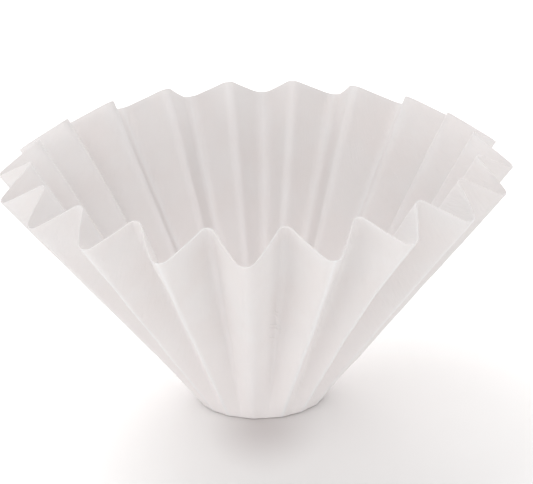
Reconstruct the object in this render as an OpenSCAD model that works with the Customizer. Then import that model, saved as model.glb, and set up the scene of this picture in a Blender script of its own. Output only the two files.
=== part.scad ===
// Fluted paper coffee filter with a flat bottom.
// One round sheet of creped paper is pressed between heated fluted dies. Paper doesn't stretch, so the
// part of the sheet outside the bottom gathers into flutes that deepen all the way up to the rim.
// The ridges rise straight from the foot. Between them hang the folds that take up the paper to spare:
// each ring of the wall keeps the length that it had in the flat sheet, and each point of the rim stays
// as far from the foot as it was. So the ridges' ends lie low and the valleys' ends stand high.

/* [Sheet] */
// Diameter of the flat round sheet
sheet_d = 155; // [130:1:200]
// Thickness of the creped paper
paper_t = 0.2; // [0.15:0.05:0.4]

/* [Bottom] */
// Diameter of the flat bottom, up to where the paper starts to bend
bottom_d = 24; // [20:1:60]
// Radius of the bend between the bottom and the wall
foot_r = 2; // [1.5:0.5:8]

/* [Wall] */
// Slope of the ridges
ridge_slope = 51.5; // [40:0.5:62]
// Number of flutes
flutes = 20; // [16:1:24]
// Radius of a ridge's round edge at the rim; it narrows with the flute towards the foot
ridge_r = 2; // [1:0.1:2.6]
// Radius of a valley's round bottom at the rim; it narrows in the same way
valley_r = 2.4; // [1:0.1:2.6]
// Turn of the first ridge away from the front
first_ridge = -2.3; // [-9:0.1:9]

/* [Hidden] */
// Facets along the foot's bend and the straight wall, and around half a ridge and half a valley
FOOT_STEPS = 4;
WALL_STEPS = 5;
RIDGE_STEPS = 3;
VALLEY_STEPS = 2;
// Least share of half a flute's paper that a fold's points are spread over
SPREAD = 0.3;
// The wall's rings lie closer together near the foot, where the flutes deepen fastest
RING_CROWDING = 1.6;
// Halvings of the search for a flank's lean, and the widest lean that it tries
SEARCH_STEPS = 24;
MAX_LEAN = 89;
// One radian in degrees
RADIAN = 180 / PI;

bottom_r = bottom_d / 2;
half_t = paper_t / 2;
half_flute = 180 / flutes;
// Paper from the edge of the flat bottom to the rim, and the part of it that the foot's bend takes
wall_len = sheet_d / 2 - bottom_r;
foot_len = foot_r * ridge_slope / RADIAN;

// Places of the rings along the paper, measured from the edge of the flat bottom
rings = [
    for (i = [0 : FOOT_STEPS]) foot_len * i / FOOT_STEPS,
    for (i = [1 : WALL_STEPS]) foot_len + (wall_len - foot_len) * pow(i / WALL_STEPS, RING_CROWDING)
];

// Slope, radius and height of a ridge at a place along the paper
function slope_at(s) = s < foot_len ? ridge_slope * s / foot_len : ridge_slope;
function radius_at(s) = bottom_r + foot_r * sin(slope_at(s)) + max(s - foot_len, 0) * cos(ridge_slope);
function height_at(s) =
    half_t + foot_r * (1 - cos(slope_at(s))) + max(s - foot_len, 0) * sin(ridge_slope);

// Length of half a flute's paper at a place along the sheet, and how narrow its folds are there
function half_paper(s) = (bottom_r + s) * half_flute / RADIAN;
function narrowing(s) = (bottom_r + s) / (bottom_r + wall_len);

// Straight paper left between the round ridge and the round valley, for a lean of the flank
function flank_len(s, lean) = half_paper(s) - (ridge_r + valley_r) * narrowing(s) * lean / RADIAN;

// Depth and width of half a flute, for a lean of its flank
function fold_depth(s, lean) =
    (ridge_r + valley_r) * narrowing(s) * (1 - cos(lean)) + flank_len(s, lean) * sin(lean);
function fold_width(s, lean) =
    (ridge_r + valley_r) * narrowing(s) * sin(lean) + flank_len(s, lean) * cos(lean);

// Width that half a flute has to fill, halfway between its ridge and its valley
function room(s, lean) = (radius_at(s) - fold_depth(s, lean) / 2 * sin(slope_at(s))) * half_flute / RADIAN;

// Lean of the flank at which half a flute just fills its room
function flank_lean(s, low = 0, high = MAX_LEAN, left = SEARCH_STEPS) =
    let (middle = (low + high) / 2)
    left == 0 ? middle
    : fold_width(s, middle) > room(s, middle) ? flank_lean(s, middle, high, left - 1)
    : flank_lean(s, low, middle, left - 1);

// A point of half a flute, a given length of paper from its ridge: its share of the way across, its
// depth under the ridge, and the paper's lean there
function fold_point(s, lean, along) =
    let (
        ridge = ridge_r * narrowing(s),
        valley = valley_r * narrowing(s),
        width = fold_width(s, lean),
        depth = fold_depth(s, lean),
        ridge_turn = along / ridge * RADIAN,
        valley_turn = (half_paper(s) - along) / valley * RADIAN,
        flank = along - ridge * lean / RADIAN
    )
    ridge_turn < lean ? [ridge * sin(ridge_turn) / width, ridge * (1 - cos(ridge_turn)), ridge_turn]
    : valley_turn < lean ? [
        1 - valley * sin(valley_turn) / width,
        depth - valley * (1 - cos(valley_turn)),
        valley_turn
    ]
    : [
        (ridge * sin(lean) + flank * cos(lean)) / width,
        ridge * (1 - cos(lean)) + flank * sin(lean),
        lean
    ];

// Half a flute from ridge to valley. Its points lie on the two round folds, and are spread over a share
// of the paper where the folds are still shallow.
function half_fold(s, lean) =
    let (
        paper = half_paper(s),
        ridge_span = max(ridge_r * narrowing(s) * lean / RADIAN, SPREAD * paper),
        valley_span = max(valley_r * narrowing(s) * lean / RADIAN, SPREAD * paper),
        places = concat(
            [for (i = [0 : RIDGE_STEPS]) ridge_span * i / RIDGE_STEPS],
            [for (i = [VALLEY_STEPS : -1 : 0]) paper - valley_span * i / VALLEY_STEPS]
        )
    )
    [for (along = places) fold_point(s, lean, along)];

// A whole flute, up to the last point before the next ridge: the half and its mirror image
function whole_fold(half) = concat(
    half,
    [for (i = [len(half) - 2 : -1 : 1]) [2 - half[i][0], half[i][1], -half[i][2]]]
);

// Angle between the ridge and the line that bisects ridge and valley, seen from the foot
function bisector(s, depth) = s > 0 ? asin(min(depth / 2 / s, 1)) : 0;

// All points of a ring on one skin of the paper, a given distance out of its middle surface
function ring_points(s, out) =
    let (
        lean = flank_lean(s),
        inward = slope_at(s) + bisector(s, fold_depth(s, lean)),
        width = fold_width(s, lean)
    )
    [
        for (flute = [0 : flutes - 1], fold = whole_fold(half_fold(s, lean)))
            let (
                share = fold[0] + out * sin(fold[2]) / width,
                under = fold[1] - out * cos(fold[2]),
                turn = first_ridge + half_flute * (2 * flute + share),
                r = radius_at(s) - under * sin(inward),
                z = height_at(s) + under * cos(inward)
            )
            [r * sin(turn), -r * cos(turn), z]
    ];

RING = flutes * 2 * (RIDGE_STEPS + VALLEY_STEPS + 1);
LAST = len(rings) - 1;

// Number of a point: skin 0 is the outer one and skin 1 the inner one
function id(skin, ring, i) = (skin * len(rings) + ring) * RING + i % RING;

module filter_paper() {
    points = concat(
        [for (s = rings) each ring_points(s, half_t)],
        [for (s = rings) each ring_points(s, -half_t)]
    );
    outer_wall = [
        for (ring = [0 : LAST - 1], i = [0 : RING - 1])
            [id(0, ring, i), id(0, ring + 1, i), id(0, ring + 1, i + 1), id(0, ring, i + 1)]
    ];
    inner_wall = [
        for (ring = [0 : LAST - 1], i = [0 : RING - 1])
            [id(1, ring, i + 1), id(1, ring + 1, i + 1), id(1, ring + 1, i), id(1, ring, i)]
    ];
    rim = [
        for (i = [0 : RING - 1])
            [id(0, LAST, i), id(1, LAST, i), id(1, LAST, i + 1), id(0, LAST, i + 1)]
    ];
    underside = [for (i = [0 : RING - 1]) id(0, 0, i)];
    inner_bottom = [for (i = [RING - 1 : -1 : 0]) id(1, 0, i)];

    color("whitesmoke")
        polyhedron(
            points,
            concat(outer_wall, inner_wall, rim, [underside], [inner_bottom]),
            convexity = 4
        );
}

filter_paper();
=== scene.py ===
"""Dresses the fluted paper filter: one round sheet of creped paper, pressed into a flat-bottomed cone.

The sheet is made flat, as it is cut, and every point of it is then pressed to its place in the flutes.
So the paper keeps its length everywhere, and the crepe and the fibre clouds follow the folds as they
would on the real sheet. Lengths are in metres and angles in degrees, unless the text says otherwise.
"""

import logging
import math
import random
from collections.abc import Sequence
from dataclasses import dataclass, field, replace
from enum import Enum
from functools import lru_cache

import bmesh
import bpy
from mathutils import Matrix, Vector, noise


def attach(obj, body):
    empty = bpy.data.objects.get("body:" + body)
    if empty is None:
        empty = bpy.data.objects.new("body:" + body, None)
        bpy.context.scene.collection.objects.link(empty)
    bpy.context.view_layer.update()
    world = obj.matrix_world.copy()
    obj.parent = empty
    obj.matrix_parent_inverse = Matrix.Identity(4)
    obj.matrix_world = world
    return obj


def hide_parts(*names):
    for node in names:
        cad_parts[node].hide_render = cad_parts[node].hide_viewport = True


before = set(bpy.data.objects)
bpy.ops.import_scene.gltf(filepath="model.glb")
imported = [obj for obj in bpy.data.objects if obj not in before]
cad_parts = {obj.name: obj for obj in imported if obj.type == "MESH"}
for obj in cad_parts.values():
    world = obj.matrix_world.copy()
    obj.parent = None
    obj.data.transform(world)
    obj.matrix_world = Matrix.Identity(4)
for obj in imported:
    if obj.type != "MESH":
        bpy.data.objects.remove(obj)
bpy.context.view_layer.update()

NODE = "filter_paper"
BODY = "root"
MM = 0.001
WHITE = (1, 1, 1)
# Radians of a wave texture's bands for each unit of its place
WAVE_STEP = 20
# Digits to which a place along the paper is rounded, so that one ring of the wall shares its folds
PLACE_DIGITS = 7

# Width of the photograph's frame in pixels, and of the camera's sensor in millimetres
IMAGE_W = 533
SENSOR_MM = 36

Pair = tuple[float, float]
Colour = tuple[float, float, float]
Socket = bpy.types.NodeSocket
Input = Socket | float | tuple[float, ...]

log = logging.getLogger("filter")


def around(turn: float, radius: float, height: float = 0) -> Vector:
    """Finds a point by its turn about the axis in radians, from the front towards the right."""
    return Vector((radius * math.sin(turn), -radius * math.cos(turn), height))


@dataclass(frozen=True)
class Nodes:
    """Nodes of one finish, with short ways to add to them. What goes into a node is either a socket that
    feeds it or a plain value."""

    tree: bpy.types.NodeTree

    @property
    def shader(self) -> bpy.types.Node:
        """The shader that a material starts with."""
        return self.tree.nodes["Principled BSDF"]

    def fill(self, node: bpy.types.Node, inputs: dict[str | int, Input]) -> None:
        """Feeds a node.

        Args:
            node: The node.
            inputs: What goes into each of its inputs, by name or number. A colour is red, green and blue.
        """
        for name, value in inputs.items():
            entry = node.inputs[name]
            if isinstance(value, bpy.types.NodeSocket):
                self.tree.links.new(value, entry)
            elif entry.type == "RGBA":
                entry.default_value = (*value, 1)
            else:
                entry.default_value = value

    def add(self, kind: str, inputs: dict[str | int, Input] | None = None,
            **settings: str) -> bpy.types.Node:
        """Adds a node.

        Args:
            kind: The node's type.
            inputs: What goes into its inputs.
            settings: Its own settings.

        Returns:
            The node.
        """
        node = self.tree.nodes.new(kind)
        for name, value in settings.items():
            setattr(node, name, value)
        self.fill(node, inputs or {})
        return node

    def camera_ray(self) -> Socket:
        """Makes a value that is 1 for what the camera sees and 0 for bounced light."""
        return self.add("ShaderNodeLightPath").outputs["Is Camera Ray"]

    def product(self, first: Input, second: Input) -> Socket:
        """Multiplies two values."""
        return self.add("ShaderNodeMath", {0: first, 1: second}, operation="MULTIPLY").outputs[0]

    def plus(self, base: Socket, height: Socket, share: float) -> Socket:
        """Adds a share of one height to another."""
        inputs = {0: height, 1: share, 2: base}
        return self.add("ShaderNodeMath", inputs, operation="MULTIPLY_ADD").outputs[0]

    def mix(self, share: Input, first: Input, second: Input) -> Socket:
        """Mixes two colours, by the share of the second one."""
        inputs = {"Factor": share, "A": first, "B": second}
        return self.add("ShaderNodeMix", inputs, data_type="RGBA").outputs["Result"]

    def remap(self, value: Socket, source: Pair, target: Pair = (0, 1)) -> Socket:
        """Maps one range of values smoothly to another.

        Args:
            value: Socket of the value.
            source: Range that it comes in.
            target: Range that it leaves in.

        Returns:
            Socket of the mapped value.
        """
        inputs = {
            "Value": value, "From Min": source[0], "From Max": source[1],
            "To Min": target[0], "To Max": target[1],
        }
        return self.add("ShaderNodeMapRange", inputs, interpolation_type="SMOOTHSTEP").outputs["Result"]

    def moved(self, place: Socket, scale: Pair = (1, 1), shift: Pair = (0, 0), turn: float = 0) -> Socket:
        """Scales, turns and then shifts places on a surface.

        Args:
            place: Socket of the places.
            scale: Factors of their two directions.
            shift: Distance that they move along each.
            turn: Turn in degrees.

        Returns:
            Socket of the moved places.
        """
        node = self.add("ShaderNodeMapping", {
            "Vector": place, "Scale": (*scale, 1), "Location": (*shift, 0),
            "Rotation": (0, 0, math.radians(turn)),
        })
        return node.outputs["Vector"]

    def distance(self, place: Socket) -> Socket:
        """Measures how far places lie from their origin."""
        return self.add("ShaderNodeVectorMath", {0: place}, operation="LENGTH").outputs["Value"]

    def noise(self, place: Socket, size: float, detail: float) -> Socket:
        """Makes a noise with spots of a given size and a number of finer octaves."""
        inputs = {"Vector": place, "Scale": 1 / size, "Detail": detail}
        return self.add("ShaderNodeTexNoise", inputs).outputs["Fac"]


@dataclass(frozen=True)
class Fold:
    """Section across one flute, from ridge to ridge, with a round ridge, a flank, a round valley, a
    flank and a round ridge. Both flanks lean alike, by an angle in radians."""

    paper: float
    left_r: float
    right_r: float
    valley_r: float
    lean: float = 0

    @property
    def radii(self) -> float:
        """Radii of its round parts together: one at each ridge, and one in the valley for each flank."""
        return self.left_r + self.right_r + 2 * self.valley_r

    @property
    def flanks(self) -> Pair:
        """Finds how much straight paper there is on each side, so that both sides end equally deep.

        Returns:
            Lengths of the left and the right flank.
        """
        both = self.paper - self.radii * self.lean
        shift = (self.right_r - self.left_r) * math.tan(self.lean / 2)
        return (both + shift) / 2, (both - shift) / 2

    @property
    def depth(self) -> float:
        """Depth of the valley under the ridges."""
        drop = (self.left_r + self.valley_r) * (1 - math.cos(self.lean))
        return drop + self.flanks[0] * math.sin(self.lean)

    @property
    def width(self) -> float:
        """Width from ridge to ridge."""
        return self.radii * math.sin(self.lean) + sum(self.flanks) * math.cos(self.lean)

    def half(self, along: float, ridge_r: float, flank: float) -> Pair:
        """Finds a point of the half beside one ridge.

        Args:
            along: Length of paper from that ridge.
            ridge_r: Radius of that ridge.
            flank: Length of the flank beside it.

        Returns:
            Distance across from the ridge and depth under it.
        """
        sin_lean = math.sin(self.lean)
        cos_lean = math.cos(self.lean)
        arc = ridge_r * self.lean
        if along < arc:
            turn = along / ridge_r
            return ridge_r * math.sin(turn), ridge_r * (1 - math.cos(turn))
        if along < arc + flank:
            straight = along - arc
            across = ridge_r * sin_lean + straight * cos_lean
            return across, ridge_r * (1 - cos_lean) + straight * sin_lean
        left = arc + flank + self.valley_r * self.lean - along
        turn = left / self.valley_r
        middle = (ridge_r + self.valley_r) * sin_lean + flank * cos_lean
        return middle - self.valley_r * math.sin(turn), self.depth - self.valley_r * (1 - math.cos(turn))

    def point(self, along: float) -> Pair:
        """Finds a point of the flute.

        Args:
            along: Length of paper from the left ridge, up to the flute's whole paper.

        Returns:
            Share of the way across to the right ridge and depth under the ridges.
        """
        left_flank, right_flank = self.flanks
        to_valley = (self.left_r + self.valley_r) * self.lean + left_flank
        if along <= to_valley:
            across, depth = self.half(along, self.left_r, left_flank)
            return across / self.width, depth
        across, depth = self.half(self.paper - along, self.right_r, right_flank)
        return 1 - across / self.width, depth


@dataclass(frozen=True)
class Crinkle:
    """Short raised line in the paper, left by handling, with its middle and direction on the sheet."""

    middle: Vector
    along: Vector
    length: float
    width: float
    height: float

    def rise(self, flat: Vector) -> float:
        """Finds how high it raises the paper.

        Args:
            flat: Place on the flat sheet, in two directions.

        Returns:
            Distance out of the paper.
        """
        away = flat - self.middle
        if abs(away.x) >= self.length or abs(away.y) >= self.length:
            return 0.0
        down = away.dot(self.along) / (self.length / 2)
        across = away.cross(self.along) / (self.width / 2)
        return self.height * math.exp(-down * down - across * across)


@dataclass(eq=False)
class FlutedSheet:
    """The whole filter: a flat bottom, a bend, and a wall whose flutes deepen up to the rim.

    A place on it is given by its turn about the axis and by s, the length of paper from the edge of the
    flat bottom, which is negative inside that edge. Ridges are counted from the front one, positive to
    the right, and a flute has the number of the ridge on its left.
    """

    name: str = "pressed_sheet"
    sheet_d: float = 155 * MM
    paper_t: float = 0.2 * MM
    bottom_d: float = 24.8 * MM
    foot_r: float = 1.2 * MM
    ridge_slope: float = 51.5
    flutes: int = 20
    first_ridge: float = -2.3

    # Fold radii at the rim, and how fast they shrink with the flute towards the foot
    ridge_r: float = 2 * MM
    valley_r: float = 1.7 * MM
    shrink: float = 0.5

    # Bluntness of the front ridge and those beside it, which fades towards the rim, the drift in
    # degrees that each shows at the foot and halfway up, and how far up the first of them reaches
    blunt: dict[int, float] = field(default_factory=lambda: {
        -3: 0.5, -2: 0.3, -1: 0.22, 0: 1.1, 1: 0.25, 2: 0.25, 3: 0.25, 4: 0.5
    })
    blunt_span: Pair = (48 * MM, 65 * MM)
    foot_drift: dict[int, float] = field(default_factory=lambda: {
        -4: -2, -3: -8, -2: -12, -1: -12, 0: -6, 1: 3, 2: 5, 3: 7, 4: 4, 5: 1
    })
    middle_drift: dict[int, float] = field(default_factory=lambda: {
        -2: -0.5, -1: -1, 0: 0, 1: 0.6, 2: -2.6, 3: -1
    })
    drift_reach: float = 18 * MM
    # The most that the other ridges stray, each way
    loose_foot: float = 1.6
    loose_middle: float = 0.9
    loose_blunt: float = 0.25
    seed: int = 7

    # Share of the spare paper that the crepe itself takes up at the foot, and how far up it does
    crepe_give: float = 0.96
    give_reach: float = 5.5 * MM

    # How far the foot stands out to the left and the right of the even bend
    foot_bulge: Pair = (0.4 * MM, 0.5 * MM)
    bulge_reach: float = 5 * MM

    # Crinkles that handling leaves on the wall, the room that they keep from its foot and its rim, and
    # the flutes that they keep from the front ridge
    loose_crinkles: int = 60
    crinkle_room: Pair = (6 * MM, 4 * MM)
    crinkle_front: float = 1.2
    crinkle_length: Pair = (2 * MM, 4.5 * MM)
    crinkle_width: float = 1.4 * MM
    crinkle_height: Pair = (0.04 * MM, 0.11 * MM)
    crinkle_tilt: float = 70

    # Slow swell of the paper between its folds, and how many times finer and lower its ripple is
    swell: float = 0.16 * MM
    swell_size: float = 11 * MM
    ripple_finer: float = 3.1
    ripple_lower: float = 3
    # About how far the middle of the flat bottom is lifted
    bottom_lift: float = 0.12 * MM

    # Facets along the bottom, the bend and the wall and across one flute, and the gap under which two
    # points of the sheet are one
    bottom_cuts: int = 6
    foot_cuts: int = 4
    wall_cuts: int = 66
    flute_steps: int = 28
    merge_gap: float = 0.001 * MM
    # How far points crowd towards the folds, from 0 to 1
    crowding: float = 0.55
    # Half the width of the painted highlight along a sharp ridge, which stands partly for the line that
    # the press leaves there, and the bluntness from which a ridge has none
    crest_width: float = 0.32 * MM
    crest_blunt: float = 1.25
    # Widest lean of a flank that is tried, and the halvings of the search for it
    max_lean: float = 89
    search_steps: int = 28

    # Softened edge of the cut rim
    rim_bevel: float = 0.05 * MM
    rim_steps: int = 2
    rim_angle: float = 60

    # Worked out from the sizes above: the radii of the sheet and its bottom, the paper of the wall and
    # of the foot's bend, the ridges' slope in radians, and the crinkles as they lie
    sheet_r: float = field(init=False)
    bottom_r: float = field(init=False)
    wall_len: float = field(init=False)
    foot_len: float = field(init=False)
    slope: float = field(init=False)
    crinkles: list[Crinkle] = field(init=False)

    def __post_init__(self) -> None:
        """Works out the radii and the paper, and draws how the other ridges stray."""
        self.sheet_r = self.sheet_d / 2
        self.bottom_r = self.bottom_d / 2
        self.wall_len = self.sheet_r - self.bottom_r
        self.slope = math.radians(self.ridge_slope)
        self.foot_len = self.foot_r * self.slope
        draw = random.Random(self.seed)
        for ridge in range(-self.flutes // 2, self.flutes // 2):
            foot = draw.uniform(-self.loose_foot, self.loose_foot)
            middle = draw.uniform(-self.loose_middle, self.loose_middle)
            blunt = 1 + draw.uniform(-self.loose_blunt, self.loose_blunt)
            self.foot_drift.setdefault(ridge, foot)
            self.middle_drift.setdefault(ridge, middle)
            self.blunt.setdefault(ridge, blunt)
        self.crinkles = [self.loose_crinkle(draw) for _ in range(self.loose_crinkles)]

    def loose_crinkle(self, draw: random.Random) -> Crinkle:
        """Lays a crinkle somewhere on the wall.

        Args:
            draw: Source of the chances.

        Returns:
            The crinkle.
        """
        flutes = draw.uniform(self.crinkle_front, self.flutes - self.crinkle_front)
        s = draw.uniform(self.crinkle_room[0], self.wall_len - self.crinkle_room[1])
        tilt = math.radians(draw.uniform(-self.crinkle_tilt, self.crinkle_tilt))
        length = draw.uniform(*self.crinkle_length)
        height = draw.uniform(*self.crinkle_height)
        flute = math.floor(flutes)
        turn = self.place_turn(flute, flutes - flute, s)
        middle = around(turn, self.bottom_r + s).xy
        return Crinkle(middle, around(turn + tilt, 1).xy, length, self.crinkle_width, height)

    def known(self, ridge: int) -> int:
        """Brings a ridge's number into the range that the drifts are kept under."""
        half = self.flutes // 2
        return (ridge + half) % self.flutes - half

    def ridge_turn(self, ridge: int, s: float) -> float:
        """Finds where a ridge stands, which is also where its pleat lies on the flat sheet.

        Args:
            ridge: Number of the ridge.
            s: Length of paper from the edge of the flat bottom.

        Returns:
            Turn about the axis in radians.
        """
        key = self.known(ridge)
        even = self.first_ridge + 360 / self.flutes * ridge
        if s < 0:
            return math.radians(even + self.foot_drift[key] * (1 + s / self.bottom_r))
        foot = self.foot_drift[key] * math.exp(-s / self.drift_reach)
        middle = self.middle_drift[key] * math.sin(math.pi * s / self.wall_len)
        return math.radians(even + foot + middle)

    def place_turn(self, flute: int, share: float, s: float) -> float:
        """Finds the turn of a place that lies a share of the way from a ridge to the next one."""
        start = self.ridge_turn(flute, s)
        return start + (self.ridge_turn(flute + 1, s) - start) * share

    def ridge_line(self, s: float) -> tuple[float, float, float]:
        """Finds the even line that the ridges follow from the foot to the rim.

        Args:
            s: Length of paper from the edge of the flat bottom.

        Returns:
            Slope in radians, radius and height of the ridges there.
        """
        slope = self.slope * min(s / self.foot_len, 1)
        straight = max(s - self.foot_len, 0)
        radius = self.bottom_r + self.foot_r * math.sin(slope) + straight * math.cos(self.slope)
        height = self.paper_t / 2 + self.foot_r * (1 - math.cos(slope)) + straight * math.sin(self.slope)
        return slope, radius, height

    def bluntness(self, ridge: int, s: float) -> float:
        """Finds by how much a ridge is blunter than the even one.

        Args:
            ridge: Number of the ridge.
            s: Length of paper from the edge of the flat bottom.

        Returns:
            Factor of the ridge's radius.
        """
        start, end = self.blunt_span
        share = min(max((end - s) / (end - start), 0), 1)
        smooth = share * share * (3 - 2 * share)
        return 1 + (self.blunt[self.known(ridge)] - 1) * smooth

    @lru_cache(maxsize=None)
    def fold(self, flute: int, s: float) -> Fold:
        """Finds the lean at which a flute's paper just fills the room between its ridges.

        Args:
            flute: Number of the flute.
            s: Length of paper from the edge of the flat bottom.

        Returns:
            The flute's section there.
        """
        slope, radius, _ = self.ridge_line(s)
        angle = self.ridge_turn(flute + 1, s) - self.ridge_turn(flute, s)
        spare = (self.bottom_r + s) - radius
        given = spare * self.crepe_give * math.exp(-(s / self.give_reach) ** 2)
        narrowing = ((self.bottom_r + s) / self.sheet_r) ** self.shrink
        section = Fold(
            paper=(self.bottom_r + s - given) * angle,
            left_r=self.ridge_r * narrowing * self.bluntness(flute, s),
            right_r=self.ridge_r * narrowing * self.bluntness(flute + 1, s),
            valley_r=self.valley_r * narrowing,
        )
        low = 0.0
        high = min(math.radians(self.max_lean), section.paper / section.radii)
        for _ in range(self.search_steps):
            lean = (low + high) / 2
            section = replace(section, lean=lean)
            room = (radius - section.depth / 2 * math.sin(slope)) * angle
            if section.width > room:
                low = lean
            else:
                high = lean
        return replace(section, lean=low)

    def flat_sheet(self) -> bmesh.types.BMesh:
        """Spins a line from the middle to the rim into a flat round sheet.

        Returns:
            The sheet, with its points evenly spaced round it.
        """
        sheet = bmesh.new()
        stops = (0, self.bottom_r, self.bottom_r + self.foot_len, self.sheet_r)
        points = [sheet.verts.new((0, -stop, 0)) for stop in stops]
        line = [sheet.edges.new(pair) for pair in zip(points, points[1:])]
        for edge, cuts in zip(line, (self.bottom_cuts, self.foot_cuts, self.wall_cuts)):
            bmesh.ops.subdivide_edges(sheet, edges=[edge], cuts=cuts)
        bmesh.ops.spin(
            sheet, geom=sheet.verts[:] + sheet.edges[:], cent=(0, 0, 0), axis=(0, 0, 1),
            angle=2 * math.pi, steps=self.flutes * self.flute_steps, use_merge=True,
        )
        bmesh.ops.remove_doubles(sheet, verts=sheet.verts[:], dist=self.merge_gap)
        bmesh.ops.recalc_face_normals(sheet, faces=sheet.faces[:])
        return sheet

    def lay_out(self, sheet: bmesh.types.BMesh) -> None:
        """Crowds the flat sheet's points towards the pleats, and keeps where each lies: its flute, its
        place on the sheet as a UV map, and its nearness to a ridge.

        Args:
            sheet: The flat sheet as spun.
        """
        flat_map = sheet.loops.layers.uv.new("flat_sheet")
        # Share of the painted highlight along a sharp ridge that each point takes
        ridge_highlight = sheet.verts.layers.float.new("ridge_highlight")
        place = sheet.verts.layers.float.new("flutes_round")
        for vert in sheet.verts:
            flat_r = vert.co.xy.length
            turn = math.atan2(vert.co.x, -vert.co.y) % (2 * math.pi)
            even = turn / (2 * math.pi) * self.flutes
            flutes = even - self.crowding * math.sin(4 * math.pi * even) / (4 * math.pi)
            flute = math.floor(flutes)
            vert[place] = flutes
            vert[ridge_highlight] = self.ridge_highlight(flutes, flat_r)
            vert.co = around(self.place_turn(flute, flutes - flute, flat_r - self.bottom_r), flat_r)
        middle = Vector((0.5, 0.5))
        for face in sheet.faces:
            for loop in face.loops:
                loop[flat_map].uv = loop.vert.co.xy / self.sheet_d + middle

    def ridge_highlight(self, flutes: float, flat_r: float) -> float:
        """Finds how much of the painted highlight along a sharp ridge a place takes, partly the line that
        the press leaves.

        Args:
            flutes: Flutes from the front ridge round to the place.
            flat_r: Distance from the sheet's middle.

        Returns:
            From 0 to 1, the most on a sharp ridge.
        """
        if flat_r <= self.bottom_r:
            return 0.0
        ridge = round(flutes)
        away = abs(flutes - ridge) * flat_r * 2 * math.pi / self.flutes
        sharp = min(max(self.crest_blunt - self.blunt[self.known(ridge)], 0), 1)
        return sharp * math.exp(-(away / self.crest_width) ** 2)

    def bulge(self, turn: float, s: float) -> float:
        """Finds how far the foot stands out at a place.

        Args:
            turn: Turn about the axis in radians.
            s: Length of paper from the edge of the flat bottom.

        Returns:
            Distance outwards.
        """
        aside = math.sin(turn)
        most = self.foot_bulge[0] if aside < 0 else self.foot_bulge[1]
        fade = 1 + s / self.bottom_r if s < 0 else math.exp(-(s / self.bulge_reach) ** 2)
        return most * aside * aside * fade

    def swelling(self, flat: Vector) -> float:
        """Finds how far the paper swells out of its pressed shape.

        Args:
            flat: Place on the flat sheet.

        Returns:
            Distance out of the paper.
        """
        place = flat / self.swell_size
        ripple = self.swell / self.ripple_lower * noise.noise(place * self.ripple_finer)
        return self.swell * noise.noise(place) + ripple

    def on_bottom(self, flat: Vector, s: float) -> Vector:
        """Finds where the press leaves a place of the flat bottom, which it lifts and draws out slightly.

        Args:
            flat: Place on the flat sheet.
            s: Length of paper from the edge of the flat bottom.

        Returns:
            The place on the filter.
        """
        inside = -s / self.bottom_r
        pressed = flat.copy()
        # The very middle has no direction to be drawn in
        if inside < 1:
            pressed.xy = flat.xy * (1 + self.bulge(math.atan2(flat.x, -flat.y), s) / flat.xy.length)
        rise = self.bottom_lift * inside * (1 + noise.noise(flat / self.swell_size))
        pressed.z = self.paper_t / 2 + max(rise, 0)
        return pressed

    def on_wall(self, flat: Vector, s: float, flutes: float) -> Vector:
        """Finds where the press leaves a place outside the flat bottom.

        Args:
            flat: Place on the flat sheet.
            s: Length of paper from the edge of the flat bottom.
            flutes: Flutes from the front ridge round to the place.

        Returns:
            The place on the filter.
        """
        flute = math.floor(flutes)
        section = self.fold(flute, round(s, PLACE_DIGITS))
        share, depth = section.point((flutes - flute) * section.paper)
        place = flat.xy
        raised = sum(crinkle.rise(place) for crinkle in self.crinkles)
        depth -= self.swelling(flat) * min(s / self.swell_size, 1) + raised
        slope, radius, height = self.ridge_line(s)
        inward = slope + math.asin(min(section.depth / 2 / s, 1))
        turn = self.place_turn(flute, share, s)
        outward = radius - depth * math.sin(inward) + self.bulge(turn, s)
        return around(turn, outward, height + depth * math.cos(inward))

    def press(self, sheet: bmesh.types.BMesh) -> None:
        """Moves every point of the flat sheet to its place in the flutes.

        Args:
            sheet: The flat sheet.
        """
        place = sheet.verts.layers.float["flutes_round"]
        for vert in sheet.verts:
            s = vert.co.xy.length - self.bottom_r
            vert.co = self.on_wall(vert.co, s, vert[place]) if s > 0 else self.on_bottom(vert.co, s)

    def build(self) -> bpy.types.Object:
        """Makes the sheet flat, presses it, and gives it its thickness and its material.

        Returns:
            The finished piece.
        """
        sheet = self.flat_sheet()
        self.lay_out(sheet)
        self.press(sheet)
        for face in sheet.faces:
            face.smooth = True
        mesh = bpy.data.meshes.new(self.name)
        sheet.to_mesh(mesh)
        sheet.free()
        piece = bpy.data.objects.new(self.name, mesh)
        bpy.context.scene.collection.objects.link(piece)
        thick = piece.modifiers.new("thickness", "SOLIDIFY")
        thick.thickness = self.paper_t
        thick.offset = 0
        thick.use_even_offset = True
        rim = piece.modifiers.new("soft_rim", "BEVEL")
        rim.width = self.rim_bevel
        rim.segments = self.rim_steps
        rim.limit_method = "ANGLE"
        rim.angle_limit = math.radians(self.rim_angle)
        mesh.materials.append(CrepedPaper(self.sheet_d).build())
        return piece


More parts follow.
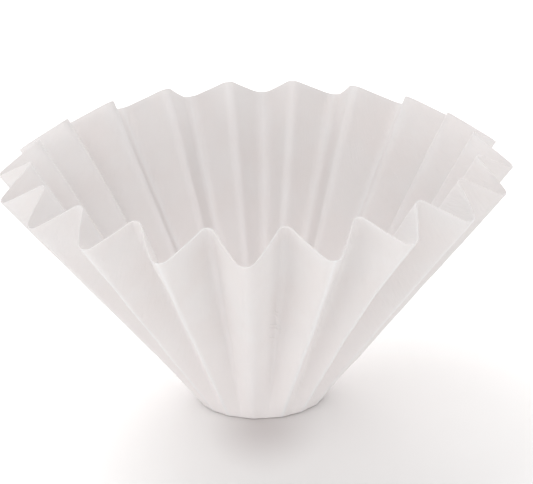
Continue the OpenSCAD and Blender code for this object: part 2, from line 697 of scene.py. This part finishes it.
@dataclass(frozen=True)
class CrepedPaper:
    """Bleached white filter paper: fine crepe across the sheet, soft fibre clouds, and a matt face that
    lets some light through."""

    sheet_d: float
    white: Colour = (0.86, 0.834, 0.828)
    # Painted highlight along sharp ridges, which stands partly for the line that the press leaves
    ridge_highlight_white: Colour = (0.91, 0.9, 0.9)
    # Painted light that makes the paper whiter towards the foot: its colour, and the distances from the
    # sheet's middle over which it fades out
    foot_light_white: Colour = (0.925, 0.885, 0.878)
    foot_light_span: Pair = (16 * MM, 62 * MM)
    # Clouds: their colour, their size on the sheet, and the noise's values from none to all of it
    cloud: Colour = (0.85, 0.811, 0.801)
    cloud_size: float = 13 * MM
    cloud_detail: float = 4
    cloud_range: Pair = (0.35, 0.65)
    # Crepe: width and length of its furrows, and its depth
    furrow: float = 0.55 * MM
    furrow_len: float = 3.2 * MM
    furrow_detail: float = 3
    crepe_depth: float = 0.1 * MM
    # Fibres: their size, their height as a share of the crepe's, and how rough they make the face
    fibre: float = 0.16 * MM
    fibre_detail: float = 2
    fibre_share: float = 0.3
    fibre_range: Pair = (0.3, 0.7)
    roughness: Pair = (0.82, 0.94)
    # Fine crinkles beside the front ridge: their middle on the sheet, how far they reach and the share
    # of that over which they fade, their height as a share of the crepe's, the gap and the turn of
    # their lines, the part of a wave that stands up as a line, and how the lines wander
    crinkle_place: Pair = (4.4 * MM, -45.2 * MM)
    crinkle_reach: Pair = (2.3 * MM, 7 * MM)
    crinkle_fade: Pair = (0.55, 1)
    crinkle_share: float = 1.3
    crinkle_gap: float = 2.9 * MM
    crinkle_turn: float = 31
    crinkle_line: Pair = (0.72, 1)
    wander: float = 1.2
    wander_detail: float = 2
    wander_scale: float = 1.5
    # Weak shine, and light that passes through the paper: its share, its reach, and how much of that
    # reach red, green and blue have
    shine: float = 0.25
    light_through: float = 0.14
    light_reach: float = 1.5 * MM
    light_colours: Colour = (1, 0.9, 0.85)

    def build(self) -> bpy.types.Material:
        """Makes the material.

        Returns:
            A material whose patterns lie on the flat sheet.
        """
        material = bpy.data.materials.new("creped_paper")
        material.use_nodes = True
        nodes = Nodes(material.node_tree)
        place = self.on_sheet(nodes)
        fibres = nodes.noise(place, self.fibre, self.fibre_detail)
        relief = self.relief(nodes, fibres)
        bump = nodes.add("ShaderNodeBump", {"Height": relief, "Distance": self.crepe_depth})
        nodes.fill(nodes.shader, {
            "Base Color": self.colour(nodes, place),
            "Roughness": nodes.remap(fibres, self.fibre_range, self.roughness),
            "Normal": bump.outputs["Normal"],
            "Specular IOR Level": self.shine,
            "Subsurface Weight": self.light_through,
            "Subsurface Radius": self.light_colours,
            "Subsurface Scale": self.light_reach,
        })
        return material

    def on_sheet(self, nodes: Nodes, middle: Pair = (0, 0), stretch: float = 1) -> Socket:
        """Gives places on the flat sheet in metres.

        Args:
            nodes: The material's nodes.
            middle: Place that the others are measured from, itself measured from the sheet's middle.
            stretch: Factor that the second direction of the sheet is scaled by.

        Returns:
            Socket of the places.
        """
        half = self.sheet_d / 2
        uv = nodes.add("ShaderNodeUVMap", uv_map="flat_sheet").outputs["UV"]
        shift = (-half - middle[0], (-half - middle[1]) * stretch)
        return nodes.moved(uv, (self.sheet_d, self.sheet_d * stretch), shift)

    def colour(self, nodes: Nodes, place: Socket) -> Socket:
        """Makes the colour: clouded white, with painted light that whitens it towards the foot and a
        painted highlight along sharp ridges, partly the line that the press leaves.

        Args:
            nodes: The material's nodes.
            place: Socket of the places on the flat sheet.

        Returns:
            Socket of the colour.
        """
        clouds = nodes.remap(nodes.noise(place, self.cloud_size, self.cloud_detail), self.cloud_range)
        clouded = nodes.mix(clouds, self.white, self.cloud)
        # Painted light: whiter towards the foot, fading out up the wall
        foot_light = nodes.remap(nodes.distance(place), self.foot_light_span, (1, 0))
        foot_lit = nodes.mix(foot_light, clouded, self.foot_light_white)
        # Painted highlight along sharp ridges
        ridge_highlight = nodes.add("ShaderNodeAttribute", attribute_name="ridge_highlight")
        return nodes.mix(ridge_highlight.outputs["Fac"], foot_lit, self.ridge_highlight_white)

    def relief(self, nodes: Nodes, fibres: Socket) -> Socket:
        """Makes the height of the crepe with the fibres and the fine crinkles on it.

        Args:
            nodes: The material's nodes.
            fibres: Socket of the fibres' noise.

        Returns:
            Socket of the height, as a share of the crepe's.
        """
        stretched = self.on_sheet(nodes, stretch=self.furrow / self.furrow_len)
        crepe = nodes.noise(stretched, self.furrow, self.furrow_detail)
        fibrous = nodes.plus(crepe, fibres, self.fibre_share)
        return nodes.plus(fibrous, self.crinkles(nodes), self.crinkle_share)

    def crinkles(self, nodes: Nodes) -> Socket:
        """Makes a few fine slanting lines in a small patch of the sheet.

        Args:
            nodes: The material's nodes.

        Returns:
            Socket of their height, from 0 to 1.
        """
        local = self.on_sheet(nodes, self.crinkle_place)
        wave = nodes.add("ShaderNodeTexWave", {
            "Vector": nodes.moved(local, turn=self.crinkle_turn),
            "Scale": 2 * math.pi / (WAVE_STEP * self.crinkle_gap),
            "Distortion": self.wander,
            "Detail": self.wander_detail,
            "Detail Scale": self.wander_scale,
            "Phase Offset": math.pi,
        })
        lines = nodes.remap(wave.outputs["Fac"], self.crinkle_line)
        away = nodes.distance(nodes.moved(local, (1 / self.crinkle_reach[0], 1 / self.crinkle_reach[1])))
        return nodes.product(lines, nodes.remap(away, self.crinkle_fade, (1, 0)))


class Light(Enum):
    """Part that a lamp plays in the studio."""

    BACK = "back_lamp"
    FRONT = "front_lamp"
    LOW_LEFT = "low_left_lamp"
    LOW_RIGHT = "low_right_lamp"


@dataclass(frozen=True)
class Lamp:
    """Soft lamp that faces the object: where it hangs, its width and height, and its power in watts."""

    part: Light
    place: tuple[float, float, float]
    size: Pair
    power: float

    def build(self) -> None:
        """Hangs the lamp."""
        data = bpy.data.lights.new(self.part.value, "AREA")
        data.shape = "RECTANGLE"
        data.size, data.size_y = self.size
        data.energy = self.power
        lamp = bpy.data.objects.new(self.part.value, data)
        lamp.location = self.place
        lamp.rotation_euler = Vector(self.place).to_track_quat("Z", "Y").to_euler()
        bpy.context.scene.collection.objects.link(lamp)


@dataclass(frozen=True)
class Spot:
    """Oval on the floor: its middle, its reach to the side and to the front, and the share of that
    reach which is all alike."""

    middle: Pair
    reach: Pair
    core: float = 0

    def away(self, nodes: Nodes, most: float = 1) -> Socket:
        """Makes a value that rises from 0 at the oval's middle to its most at the edge and beyond.

        Args:
            nodes: The floor's nodes.
            most: The value at the edge.

        Returns:
            Socket of the value.
        """
        wide, deep = self.reach
        place = nodes.add("ShaderNodeTexCoord").outputs["Object"]
        local = nodes.moved(place, (1 / wide, 1 / deep), (-self.middle[0] / wide, -self.middle[1] / deep))
        return nodes.remap(nodes.distance(local), (self.core, 1), (0, most))


@dataclass(frozen=True)
class PaleFloor:
    """Matt pale floor that keeps the object's shadow, deepens it with a painted shadow in front of the
    foot, and is white to the camera away from it.
    """

    # Its colour in bounced light, and its colour to the camera
    colour: Colour = (0.95, 0.94, 0.935)
    seen_colour: Colour = (0.95, 0.937, 0.932)
    # Painted shadow that only the camera sees: the floor's darkest colour in front of the foot, and the
    # oval where it lies
    painted_shadow_colour: Colour = (0.72, 0.69, 0.685)
    painted_shadow_spot: Spot = Spot((0, -17 * MM), (14 * MM, 24 * MM))
    # Oval inside which the floor shows its shadow, and the glow, seen only by the camera, that paints the
    # floor white outside it
    shadow: Spot = Spot((23 * MM, -23.5 * MM), (107 * MM, 107 * MM), 0.234)
    far_glow: float = 0.49

    def build(self) -> bpy.types.Material:
        """Makes the material.

        Returns:
            The floor's material.
        """
        material = bpy.data.materials.new("pale_floor")
        material.use_nodes = True
        nodes = Nodes(material.node_tree)
        to_camera = nodes.camera_ray()
        # Painted shadow seen only by the camera, darkest in an oval in front of the foot
        seen = nodes.mix(self.painted_shadow_spot.away(nodes), self.painted_shadow_colour, self.seen_colour)
        nodes.fill(nodes.shader, {
            "Base Color": nodes.mix(to_camera, self.colour, seen),
            "Roughness": 1,
            "Specular IOR Level": 0,
            "Emission Color": WHITE,
            "Emission Strength": nodes.product(to_camera, self.shadow.away(nodes, self.far_glow)),
        })
        return material


@dataclass(frozen=True)
class Studio:
    """Plain pale floor, soft lamps and a white surround."""

    floor_size: float = 6
    floor_drop: float = 0.05 * MM
    # Strength of the surround as a light
    surround: float = 0.66
    lamps: tuple[Lamp, ...] = (
        Lamp(Light.BACK, (0, 1.1, 0.8), (1.2, 1.2), 9.5),
        Lamp(Light.FRONT, (-0.2, -0.9, 1.1), (1, 1), 3.5),
        Lamp(Light.LOW_LEFT, (-1, -0.8, 0.13), (1, 0.22), 2.3),
        Lamp(Light.LOW_RIGHT, (1, -0.8, 0.13), (1, 0.22), 1.3),
    )

    def build(self) -> None:
        """Makes the floor, the surround and the lamps."""
        self.floor()
        self.world()
        for lamp in self.lamps:
            lamp.build()

    def floor(self) -> None:
        """Lays the floor under the object."""
        plane = bmesh.new()
        bmesh.ops.create_grid(plane, x_segments=1, y_segments=1, size=self.floor_size / 2)
        bmesh.ops.translate(plane, verts=plane.verts[:], vec=(0, 0, -self.floor_drop))
        mesh = bpy.data.meshes.new("floor")
        plane.to_mesh(mesh)
        plane.free()
        mesh.materials.append(PaleFloor().build())
        floor = bpy.data.objects.new("floor", mesh)
        bpy.context.scene.collection.objects.link(floor)

    def world(self) -> None:
        """Makes a surround that is white to the camera and lights the object more gently."""
        world = bpy.data.worlds.new("surround")
        world.use_nodes = True
        nodes = Nodes(world.node_tree)
        strength = nodes.remap(nodes.camera_ray(), (0, 1), (self.surround, 1))
        nodes.fill(world.node_tree.nodes["Background"], {"Color": WHITE, "Strength": strength})
        bpy.context.scene.world = world


@dataclass(frozen=True)
class PhotoCamera:
    """Camera in front of the object, as the photograph was taken."""

    distance: float = 455.5 * MM
    height: float = 213.6 * MM
    yaw: float = 0.248
    pitch: float = -21.437
    roll: float = -1.615
    # Focal length in pixels of the photograph's frame, and the distance at which the view starts
    focal_px: float = 2341.4
    nearest: float = 10 * MM

    def build(self) -> None:
        """Makes the camera and sets it as the scene's own."""
        yaw = math.radians(self.yaw)
        pitch = math.radians(self.pitch)
        roll = math.radians(self.roll)
        flat = math.cos(pitch)
        ahead = Vector((math.sin(yaw) * flat, math.cos(yaw) * flat, math.sin(pitch)))
        level = Vector((math.cos(yaw), -math.sin(yaw), 0))
        up = level.cross(ahead)
        right = level * math.cos(roll) + up * math.sin(roll)
        up = up * math.cos(roll) - level * math.sin(roll)
        data = bpy.data.cameras.new("photo_camera")
        data.sensor_width = SENSOR_MM
        data.sensor_fit = "HORIZONTAL"
        data.lens = self.focal_px / IMAGE_W * SENSOR_MM
        data.clip_start = self.nearest
        camera = bpy.data.objects.new("photo_camera", data)
        turned = Matrix((right, up, -ahead)).transposed().to_4x4()
        camera.matrix_world = Matrix.Translation((0, -self.distance, self.height)) @ turned
        bpy.context.scene.collection.objects.link(camera)
        bpy.context.scene.camera = camera


def report(piece: bpy.types.Object) -> None:
    """Logs a piece's triangles and size.

    Args:
        piece: The finished piece.
    """
    shape = piece.evaluated_get(bpy.context.evaluated_depsgraph_get())
    shape.data.calc_loop_triangles()
    size = [round(length / MM, 1) for length in shape.dimensions]
    log.info("%s: %d triangles, %s mm", piece.name, len(shape.data.loop_triangles), size)


def main() -> None:
    """Builds the camera, the piece and the studio."""
    logging.basicConfig(level=logging.INFO, format="%(name)s: %(message)s")
    bpy.context.scene.view_settings.view_transform = "Standard"
    PhotoCamera().build()
    piece = FlutedSheet().build()
    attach(piece, BODY)
    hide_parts(NODE)
    report(piece)
    Studio().build()


if __name__ == "__main__":
    main()
